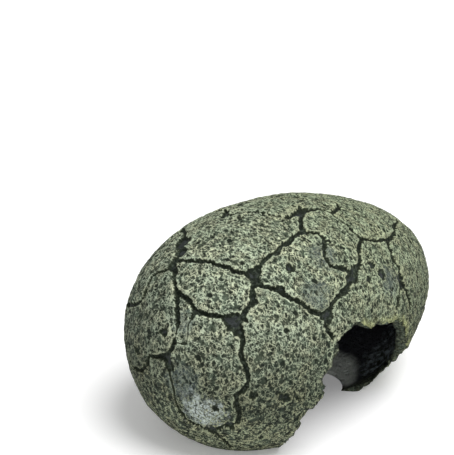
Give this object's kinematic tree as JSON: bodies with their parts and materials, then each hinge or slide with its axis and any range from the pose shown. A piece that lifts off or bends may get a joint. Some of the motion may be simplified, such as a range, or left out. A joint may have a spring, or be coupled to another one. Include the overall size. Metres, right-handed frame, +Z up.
{
  "type": "fossil dinosaur egg",
  "caption": "Hollow fossil dinosaur egg lying on its long side: a cracked, porous stone shell with an arched hole broken through its front and a flat cut rim to rest on.",
  "frame": {"origin": "on the ground, at the middle of the egg's length and width", "axes": "+X along the egg's long axis, towards the pointed end; +Z up, away from the flat cut rim; the broken hole faces -Y"},
  "size_m": [0.1557, 0.0989, 0.089],
  "materials": {
    "fossil_stone": "matt, porous, grey-green with pale ridges and dark cracks"
  },
  "bodies": {
    "root": {"eggshell": "fossil_stone"}
  },
  "joints": []
}
